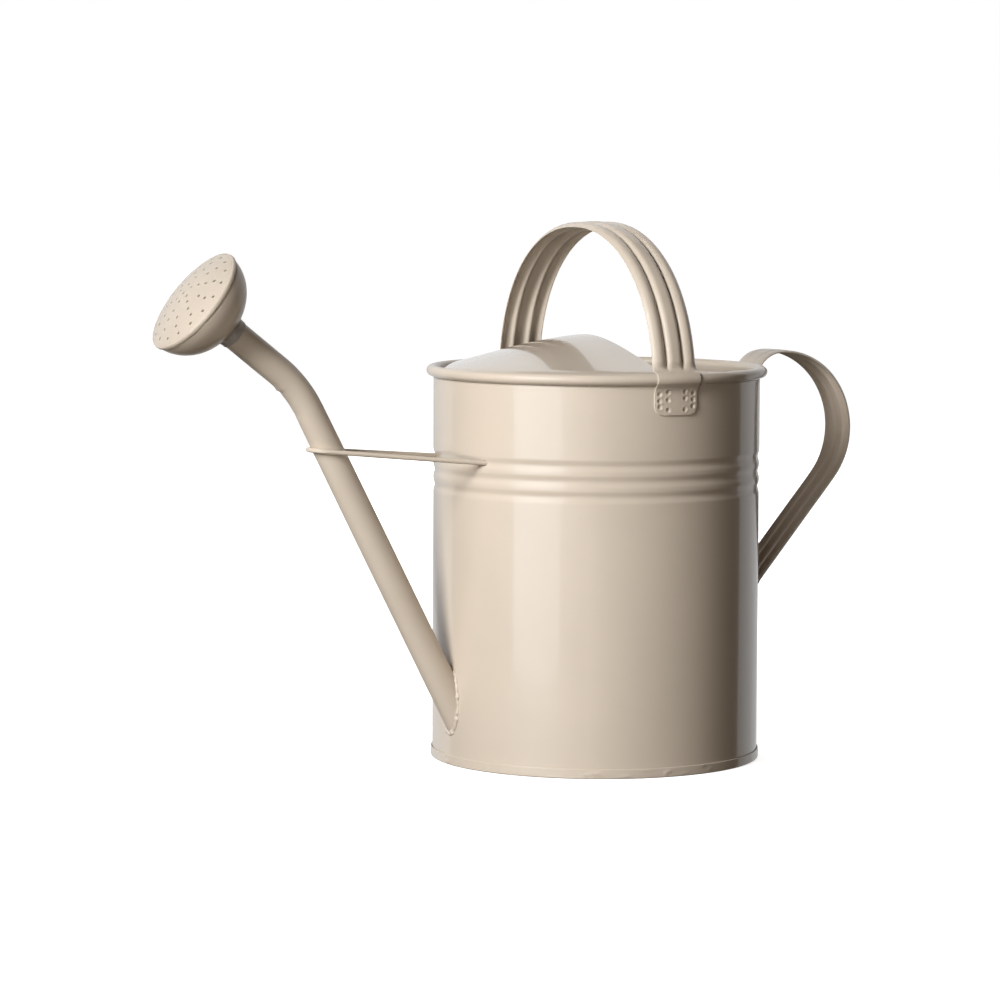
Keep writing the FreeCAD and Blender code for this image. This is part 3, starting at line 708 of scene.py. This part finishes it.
def build_rear_handle():
    """Looped rear handle, flattened where it is welded to the wall and at its top."""
    outline = rear_outline()
    dense = curve_through(outline, 0.3)
    flat, place, length = respaced(dense, lambda p: 0.6 if p[0] < 117 else 1.5)
    path = np.c_[flat[:, 0], np.zeros(len(flat)), flat[:, 1]]
    near_top = smoothstep(place, 22.0, 120.0)
    near_foot = 1.0 - smoothstep(place, length - 48.0, length - 30.0)
    flute = (0.05 + 0.95 * near_top) * near_foot * smoothstep(place, 14.0, 30.0)
    top_wrap = 1.0 - smoothstep(place, 10.0, 24.0)
    low_wrap = smoothstep(place, length - 38.0, length - 22.0)
    width = plate_width(np.minimum(place, length - place), REAR_WIDTH)
    axis = np.array([0.0, 1.0, 0.0])

    def inward(point):
        return np.array([-1.0, 0.0, 0.0])

    def dents(reach, point):
        total = np.zeros(len(reach))
        for base, sign in ((REAR_PLATE_LOW_Z + 4.5, 1), (REAR_PLATE_TOP_Z + 4.0, -1)):
            on_plate = point[0] < WALL_R + 1.6 and (point[2] < 92) == (sign > 0)
            if on_plate:
                for offset in (-11.0, -5.5, 5.5, 11.0):
                    for row in (0.0, 5.5):
                        gap = ((reach[:, 1] - offset) ** 2 + (point[2] - base - row) ** 2) / WELD_R ** 2
                        total -= 0.55 * np.exp(-gap ** 1.5)
        kink = np.exp(-((point[2] - 226.0) / 3.0) ** 2) if point[0] > 175 else 0.0
        return total - 0.35 * kink * np.exp(-(reach[:, 1] / 2.6) ** 2)

    strap_piece("looped_handle", path, axis, inward, width, flute, top_wrap + low_wrap, dents, "can",
                "rear_handle", STRAP_PAINT, "painted_steel")


# ---------------------------------------------------------------- spout
TANGENT = 17.3            # from the corner to where the bend starts
TIP_END = 63.5            # from the corner to the tube's open end
SPOUT_AXIS_LENGTH = 290.0
BEND_SHORTCUT = 0.03      # share of TANGENT by which half the bend is shorter than it
# Creases under the bend: place past the corner, half width, how closely they keep to the
# underside, and height.
CREASES = ((9.0, 1.6, 6, 0.70), (5.6, 1.5, 6, -0.60), (-15.5, 1.2, 4, -0.48))
SOLDER_HALF_WIDTH = 1.55
SOLDER_HEIGHT = 1.15
BEND_OVAL = 0.16          # how far the tube is squeezed at the bend


def spout_path():
    """Centre, axis and radius along the spout from inside the can to the tip."""
    up = np.array(LOWER_AXIS) * -1.0
    tip = np.array(TIP_AXIS)
    corner = np.array(SPOUT_CORNER)
    lower = [corner - up * s for s in np.arange(SPOUT_AXIS_LENGTH, TANGENT, -2.0)]
    turn = math.acos(float(up @ tip))
    radius = TANGENT / math.tan(turn / 2)
    inward = unit(tip - up)
    pivot = corner + inward * (radius / math.cos(turn / 2))
    bend = []
    for share in np.linspace(0, 1, 17):
        angle = turn * share
        direction = unit(up * math.sin(turn - angle) + tip * math.sin(angle))
        side = unit(inward - direction * (inward @ direction))
        bend.append(pivot - side * radius)
    upper = [corner + tip * s for s in np.arange(TANGENT + 2.0, TIP_END, 2.0)] + [corner + tip * TIP_END]
    return np.array(lower + bend + upper)


def spout_radius(place, corner_place):
    """Outside radius at a place along the centreline."""
    distance = np.clip(corner_place - place, 0.0, None)
    line = curve_through(TAPER, 2.0)
    return np.interp(distance, line[:, 0], line[:, 1])


def tube_axes(path):
    """Two directions across a path that lies in the XZ plane."""
    along = tangents(path)
    across = np.tile([0.0, 1.0, 0.0], (len(path), 1))
    return along, unit(np.cross(across, along)), across


def foot_shift(point, direction):
    """Distance from a point along a direction to the wall's surface."""
    a = direction[0] ** 2 + direction[1] ** 2
    b = point[0] * direction[0] + point[1] * direction[1]
    c = point[0] ** 2 + point[1] ** 2 - (WALL_R + 0.05) ** 2
    return (-b - math.sqrt(max(b * b - a * c, 0.0))) / a


def build_spout():
    """Tapered bent tube, open at the tip and butted on the wall."""
    path = spout_path()
    place = np.r_[0, np.cumsum(np.linalg.norm(np.diff(path, axis=0), axis=1))]
    corner_place = SPOUT_AXIS_LENGTH - TANGENT * BEND_SHORTCUT
    radius = spout_radius(place, corner_place)
    along, lift, across = tube_axes(path)
    sides = 96
    angle = np.linspace(0, 2 * math.pi, sides, endpoint=False)
    keep = [i for i in range(len(path)) if path[i][0] < -WALL_R - 18.0]
    first = keep[0]

    def ring(i, shrink):
        bend = math.exp(-((place[i] - corner_place) / 16.0) ** 2)
        under = np.clip(-np.cos(angle), 0, 1)
        r = radius[i] - shrink
        crease = 0.0
        for past, width, focus, height in CREASES:
            near = math.exp(-((place[i] - corner_place - past) / width) ** 2)
            crease = crease + near * under ** focus * height
        r = r - BEND_OVAL * bend * np.cos(2 * angle) + crease
        return path[i] + np.outer(r * np.cos(angle), lift[i]) + np.outer(r * np.sin(angle), across[i])

    def foot_rings(shrink):
        start = ring(first, shrink)
        direction = -along[first]
        flare = (radius[0] - radius[first]) / (place[first] - place[0])
        rings = []
        for share in np.linspace(1.0, 0.0, 22, endpoint=False):
            row = []
            for point in start:
                out = unit(point - path[first])
                way = direction + out * flare
                way = way / np.linalg.norm(way)
                row.append(point + way * foot_shift(point, way) * share)
            rings.append(np.array(row))
        return rings

    outer = foot_rings(0.0) + [ring(i, 0.0) for i in keep]
    inner = foot_rings(SHEET) + [ring(i, SHEET) for i in keep]
    rings = np.array(outer + inner[::-1])
    faces = grid_faces(len(rings), sides, True, True)
    build_solder(outer[0])
    make_piece("spout", rings.reshape(-1, 3), faces, "can", "spout_tube", SPOUT_PAINT,
               "painted_steel", 40)


def build_solder(edge):
    """Uneven bead of solder and paint round the foot of the spout."""
    line = np.vstack([edge, edge[:1]])
    line = curve_through(line, 0.6)[:-1]
    count = len(line)
    centre = line.mean(0)
    along = unit(np.roll(line, -1, axis=0) - np.roll(line, 1, axis=0))
    out = line * (1.0, 1.0, 0.0)
    out = unit(out)
    side = unit(np.cross(along, out))
    side = side * np.sign(np.sum(side * (line - centre), axis=1))[:, None]
    draw = np.random.default_rng(21)
    phase = np.linspace(0, 2 * math.pi, count, endpoint=False)
    swell = np.ones(count)
    for k in (3, 5, 8, 13, 21, 30):
        swell += draw.uniform(0.07, 0.16) * np.sin(k * phase + draw.uniform(0, 6.3))
    sides = 14
    rows = []
    for j in range(sides):
        a = 2 * math.pi * j / sides
        aside = 0.35 + math.cos(a) * SOLDER_HALF_WIDTH * swell
        rows.append(line + side * aside[:, None] + out * (math.sin(a) * SOLDER_HEIGHT * swell)[:, None])
    points = np.array(rows)
    make_piece("solder_bead", points.reshape(-1, 3), grid_faces(sides, count, True, True), "can",
               "spout_solder", SOLDER_PAINT, "painted_solder")


# ---------------------------------------------------------------- brace wire
BRACE_R = 1.6
BRACE_HOLE_R = 1.85
BRACE_LOOP = Vector((-199.4, 0.0, 212.5))
BRACE_HOLE = Vector((-104.7, 35.3, 204.2))
BRACE_HALF_LENGTH = 14.0
BRACE_HALF_WIDTH = 11.95


def brace_forward():
    """Direction of the wire's sloping plane, from the wall to the spout."""
    return (BRACE_LOOP - Vector((BRACE_HOLE.x, 0.0, BRACE_HOLE.z))).normalized()


def brace_touch_angle():
    """Angle on the loop at which a straight leg runs on to it."""
    reach = BRACE_HOLE - BRACE_LOOP
    a = reach.dot(brace_forward()) / BRACE_HALF_LENGTH
    b = reach.y / BRACE_HALF_WIDTH
    return math.atan2(b, a) - math.acos(1 / math.hypot(a, b))


def loop_point(angle):
    """Point on the wire's loop round the spout."""
    spot = BRACE_LOOP + brace_forward() * (BRACE_HALF_LENGTH * math.cos(angle))
    return spot + Vector((0, BRACE_HALF_WIDTH * math.sin(angle), 0))


def brace_hole(side):
    """Point where a leg passes the wall, and its direction into the can."""
    touch = loop_point(side * brace_touch_angle())
    hole = Vector((BRACE_HOLE.x, side * BRACE_HOLE.y, BRACE_HOLE.z))
    return hole, (hole - touch).normalized()


def brace_side_path(side):
    """Centreline of one leg from its hooked end inside the wall to the loop."""
    hole, axis = brace_hole(side)
    down = Vector((0, 0, -1))
    down = (down - axis * down.dot(axis)).normalized()
    bend_at = hole + axis * 7.0
    pivot = bend_at + down * 3.2
    points = [pivot + axis * 3.2 + down * 9.0, pivot + axis * 3.2 + down * 4.5]
    for degrees in (0, 22, 45, 68, 90):
        a = math.radians(degrees)
        points.append(pivot + axis * (3.2 * math.cos(a)) - down * (3.2 * math.sin(a)))
    touch = loop_point(side * brace_touch_angle())
    for share in np.linspace(0.04, 0.97, 12):
        points.append(bend_at.lerp(touch, float(share)))
    return points


def build_brace():
    """One wire that loops round the spout and is hooked behind the wall at both ends."""
    touch = brace_touch_angle()
    loop = [loop_point(a) for a in np.linspace(touch, -touch, 25)]
    points = brace_side_path(1) + loop + brace_side_path(-1)[::-1]
    path = curve_through([tuple(p) for p in points], 1.0)
    along = tangents(path)
    sides = 20
    rings = []
    normal = unit(np.cross(along[0], (0.0, 0.0, 1.0)) + 1e-9)
    for i, point in enumerate(path):
        normal = unit(normal - along[i] * (normal @ along[i]))
        binormal = np.cross(along[i], normal)
        distance = min(i, len(path) - 1 - i)
        r = BRACE_R * (1.0 if distance > 0 else 0.75)
        angle = np.linspace(0, 2 * math.pi, sides, endpoint=False)
        rings.append(point + np.outer(np.cos(angle) * r, normal) + np.outer(np.sin(angle) * r, binormal))
    rings = np.array(rings)
    faces = grid_faces(len(rings), sides, False, True)
    faces.append(tuple(range(sides))[::-1])
    faces.append(tuple((len(rings) - 1) * sides + j for j in range(sides)))
    make_piece("brace", rings.reshape(-1, 3), faces, "can", "brace_wire", WIRE_PAINT,
               "painted_wire", 50)


# ---------------------------------------------------------------- rose
ROSE_START = 61.5         # from the spout's corner to the back of the bowl
BOWL_DEPTH = 31.0
BOWL_R = 37.2
ROSE_SHEET = 0.7
FACE_R = 37.75
FACE_RISE = 8.0
HOLE_R = 0.98             # a little wider than bored, as the punch rounds their edges
HOLE_RINGS = ((0.0, 1, 0.0), (7.0, 6, 15.0), (13.3, 6, 25.0), (20.0, 12, 0.0), (26.5, 12, 0.0),
              (32.5, 18, 15.0))


def rose_matrix():
    """From the rose's own axis (+Z out of the face) to its place on the spout."""
    start = SPOUT_CORNER + TIP_AXIS * ROSE_START
    side = Vector((0.0, 1.0, 0.0))
    up = side.cross(TIP_AXIS)
    turn = Matrix((up, side, TIP_AXIS)).transposed().to_4x4()
    return Matrix.Translation(start * MM) @ turn


def rose_piece(name, section, segments, wave, *rest):
    """Turned piece of the rose, put in its place."""
    piece = turned_piece(name, section, segments, wave, "rose", *rest)
    piece.data.transform(rose_matrix())
    return piece


def no_wave(angle, z):
    """A true surface of revolution."""
    return np.zeros(np.broadcast(angle, z).shape)


def build_bowl():
    """Spun bowl with a rolled lip and a hole for the neck."""
    angles = np.radians(np.r_[np.linspace(17.4, 82.0, 42), np.linspace(82.4, 90.0, 22)])
    line = np.c_[(BOWL_R - 0.35) * np.sin(angles), BOWL_DEPTH - (BOWL_DEPTH - 0.35) * np.cos(angles)]
    line[:, 0] -= 0.55 * np.exp(-((line[:, 1] - BOWL_DEPTH + 2.3) / 0.7) ** 2)
    section = thick_section(line, ROSE_SHEET)

    def wave(angle, z):
        return 0.07 * np.sin(3 * angle + 0.6) * smoothstep(z, 4, 20) + unevenness(angle, z * 6, 8, 0.05)

    rose_piece("rose_cup", section, 160, wave, "rose_bowl", ROSE_PAINT, "painted_steel", 50)


def build_face():
    """Domed disc with spray holes, its edge turned over the lip of the bowl."""
    sphere = (FACE_R ** 2 + FACE_RISE ** 2) / (2 * FACE_RISE)
    base = BOWL_DEPTH + 0.05 + ROSE_SHEET / 2
    r = np.linspace(0, FACE_R - 1.3, 44)
    dome = np.c_[r, base + FACE_RISE - sphere + np.sqrt(sphere ** 2 - r ** 2)]
    edge = curve_through([dome[-1], (FACE_R - 0.35, dome[-1][1] - 0.35), (FACE_R + 0.02, base - 0.6),
                          (FACE_R + 0.02, base - 1.8)], 0.25)[1:]
    line = np.vstack([dome, edge])
    along = tangents(line)
    along[0] = (1.0, 0.0)
    normal = np.c_[-along[:, 1], along[:, 0]]
    thick = np.where(np.arange(len(line)) < len(dome), ROSE_SHEET, 0.44)[:, None]
    section = np.vstack([line + normal * thick / 2, (line - normal * thick / 2)[::-1]])
    face = turned_piece("rose_disc", section, 180, no_wave, "rose", "rose_face", FACE_PAINT,
                        "painted_steel", 50)
    ends = []
    for radius, count, first in HOLE_RINGS:
        for index in range(count):
            angle = math.radians(first + 360.0 * index / count)
            spot = Vector((radius * math.sin(angle), radius * math.cos(angle), 0.0))
            ends.append((spot + Vector((0, 0, BOWL_DEPTH - 4)), spot + Vector((0, 0, BOWL_DEPTH + 16))))
    cut(face, rods("spray_holes", ends, HOLE_R, 20))
    face.data.transform(rose_matrix())


def build_neck():
    """Short tapered sleeve between bowl and tube, with a rolled end."""
    bore = TIP_R + 0.05
    outer = [(10.0, -5.45), (10.25, -5.1), (10.25, -4.5), (10.15, -4.1), (10.3, -3.0), (10.5, -1.6),
             (10.75, -0.5), (10.9, 0.3), (10.9, 3.0)]
    inner = [(bore, 3.0), (bore, 0.0), (bore, -2.5), (bore, -5.2), (9.85, -5.5)]
    rose_piece("rose_sleeve", outer + inner, 120, no_wave, "rose_neck", COLLAR_ZINC,
               "zinc_collar", 45)


# ---------------------------------------------------------------- stage, lights and camera
def emitter(name, colour, strength):
    """Material that only gives light."""
    material = bpy.data.materials.new(name)
    material.use_nodes = True
    tree = material.node_tree
    tree.nodes.clear()
    light = tree.nodes.new("ShaderNodeEmission")
    light.inputs["Color"].default_value = (*colour, 1.0)
    light.inputs["Strength"].default_value = strength
    output = tree.nodes.new("ShaderNodeOutputMaterial")
    tree.links.new(light.outputs["Emission"], output.inputs["Surface"])
    return material


def stage_object(name, material, shape, **sizes):
    """Object of the stage, made by one of bmesh's shapes; sizes in metres."""
    mesh = bpy.data.meshes.new(name)
    work = bmesh.new()
    shape(work, **sizes)
    work.to_mesh(mesh)
    work.free()
    mesh.materials.append(material)
    return new_object(name, mesh)


def build_floor():
    """Large pale floor that glows a little, so that only the can's soft shadow shows on it."""
    material, tree, shader, where = node_tree("pale_floor")
    tone = ramp(tree, noise(tree, where, 3.0, 2.0), ((0.3, (0.90, 0.90, 0.90)), (0.7, (0.93, 0.93, 0.93))))
    tree.links.new(tone, shader.inputs["Base Color"])
    shader.inputs["Roughness"].default_value = 0.8
    shader.inputs["Specular IOR Level"].default_value = 0.1
    reach = tree.nodes.new("ShaderNodeVectorMath")
    reach.operation = "LENGTH"
    tree.links.new(where, reach.inputs[0])
    glow = spread(tree, reach.outputs["Value"], 0.86, 1.0)
    glow.node.inputs["From Min"].default_value = 0.2
    glow.node.inputs["From Max"].default_value = 0.75
    shader.inputs["Emission Color"].default_value = (1.0, 1.0, 1.0, 1.0)
    tree.links.new(glow, shader.inputs["Emission Strength"])
    floor = stage_object("floor", material, bmesh.ops.create_grid, x_segments=8, y_segments=8, size=30.0)
    floor.location.z = -0.0002
    floor.visible_diffuse = False
    floor.visible_glossy = False


def softbox(name, place, aim, size, power):
    """Rectangular studio light aimed at a point."""
    light = bpy.data.lights.new(name, "AREA")
    light.shape = "RECTANGLE"
    light.size, light.size_y = size
    light.energy = power
    lamp = new_object(name, light)
    lamp.location = place
    lamp.rotation_euler = (Vector(aim) - Vector(place)).to_track_quat("-Z", "Y").to_euler()
    return lamp


CAMERA_AZIMUTH = math.radians(-29.0)
CAMERA_PITCH = math.radians(4.5245)
CAMERA_ROLL = math.radians(0.38)
CAMERA_DISTANCE = 2.7692
CAMERA_TARGET = Vector((0.0, 0.0, 0.2))
FOCAL = 147.6
# How far the can's middle stands from the centre of the picture, as slopes.
OFFSET_RIGHT = 0.02343
OFFSET_UP = 0.00967


def camera_axes():
    """Right, up and forward directions before the camera is turned off the can's middle."""
    back = Vector((math.sin(CAMERA_AZIMUTH) * math.cos(CAMERA_PITCH),
                   -math.cos(CAMERA_AZIMUTH) * math.cos(CAMERA_PITCH), math.sin(CAMERA_PITCH)))
    right = (-back).cross(Vector((0, 0, 1))).normalized()
    up = right.cross(-back)
    c, s = math.cos(CAMERA_ROLL), math.sin(CAMERA_ROLL)
    return right * c + up * s, up * c - right * s, -back


def build_camera():
    """Long-lens camera a little above the rim and to the left."""
    right, up, forward = camera_axes()
    look = (forward - right * OFFSET_RIGHT - up * OFFSET_UP).normalized()
    side = look.cross(up).normalized()
    lens = bpy.data.cameras.new("camera")
    lens.lens = FOCAL
    lens.sensor_width = 36.0
    lens.clip_end = 100.0
    camera = new_object("camera", lens)
    camera.location = CAMERA_TARGET - forward * CAMERA_DISTANCE
    camera.rotation_euler = Matrix((side, side.cross(look), -look)).transposed().to_euler()
    bpy.context.scene.camera = camera


def build_lights():
    """Key and softbox on the left, a white card behind for reflections and a dim studio round it."""
    right, _, forward = camera_axes()
    flat_right, flat_forward = (Vector((way.x, way.y, 0)).normalized() for way in (right, forward))
    middle = CAMERA_TARGET

    def at(angle, distance, height):
        a = math.radians(angle)
        place = middle - flat_forward * (distance * math.cos(a)) + flat_right * (distance * math.sin(a))
        return place + Vector((0, 0, height))

    window = softbox("left_softbox", at(-41, 2.2, 0.6), middle, (1.5, 2.2), 26.0)
    window.data.color = (0.90, 1.0, 1.14)
    window.visible_diffuse = False
    key = softbox("key", at(-38, 2.2, 1.0), middle, (0.7, 1.0), 70.0)
    key.visible_glossy = False
    behind = softbox("back_fill", at(-172, 2.4, 0.9), middle, (2.0, 1.6), 24.0)
    behind.visible_glossy = False
    front = softbox("low_front", at(-14, 2.0, -0.12), middle, (0.8, 0.3), 13.0)
    front.data.color = (1.0, 0.95, 0.87)
    front.visible_glossy = False
    world = bpy.data.worlds.new("studio")
    world.use_nodes = True
    background = world.node_tree.nodes["Background"]
    background.inputs["Color"].default_value = (0.062, 0.046, 0.033, 1.0)
    background.inputs["Strength"].default_value = 1.0
    bpy.context.scene.world = world
    card = stage_object("glow_card", emitter("card_glow", (1.0, 1.0, 1.0), 0.85), bmesh.ops.create_grid,
                        x_segments=2, y_segments=2, size=1.0)
    card.scale = (7.5, 4.0, 1.0)
    card.rotation_euler = (math.radians(90), 0.0, math.atan2(flat_right.y, flat_right.x))
    card.location = middle + flat_forward * 4.5 + Vector((0, 0, 1.2))
    card.visible_camera = False
    card.visible_diffuse = False
    card.visible_shadow = False


def build_backdrop():
    """White cyclorama round the stage that the camera sees but that gives no light."""
    white = emitter("white_backdrop", (1.0, 1.0, 1.0), 1.0)
    backdrop = stage_object("backdrop", white, bmesh.ops.create_uvsphere, u_segments=48, v_segments=24,
                            radius=28.0)
    backdrop.visible_diffuse = False
    backdrop.visible_glossy = False
    backdrop.visible_transmission = False
    backdrop.visible_shadow = False


def finish_cad_node(node, material):
    """Gives a CAD node that stays its own material."""
    piece = frame["nodes"][node]
    piece.data.materials.clear()
    piece.data.materials.append(material)


def main():
    """Builds every piece, the stage and the camera."""
    build_camera()
    build_wall()
    build_seam()
    build_base()
    build_cover()
    build_bail()
    build_rear_handle()
    build_spout()
    build_brace()
    build_bowl()
    build_face()
    build_neck()
    finish_cad_node("rim_wire", WIRE_ZINC)
    build_floor()
    build_backdrop()
    build_lights()
    view = bpy.context.scene.view_settings
    view.view_transform = "Standard"
    view.look = "None"


main()
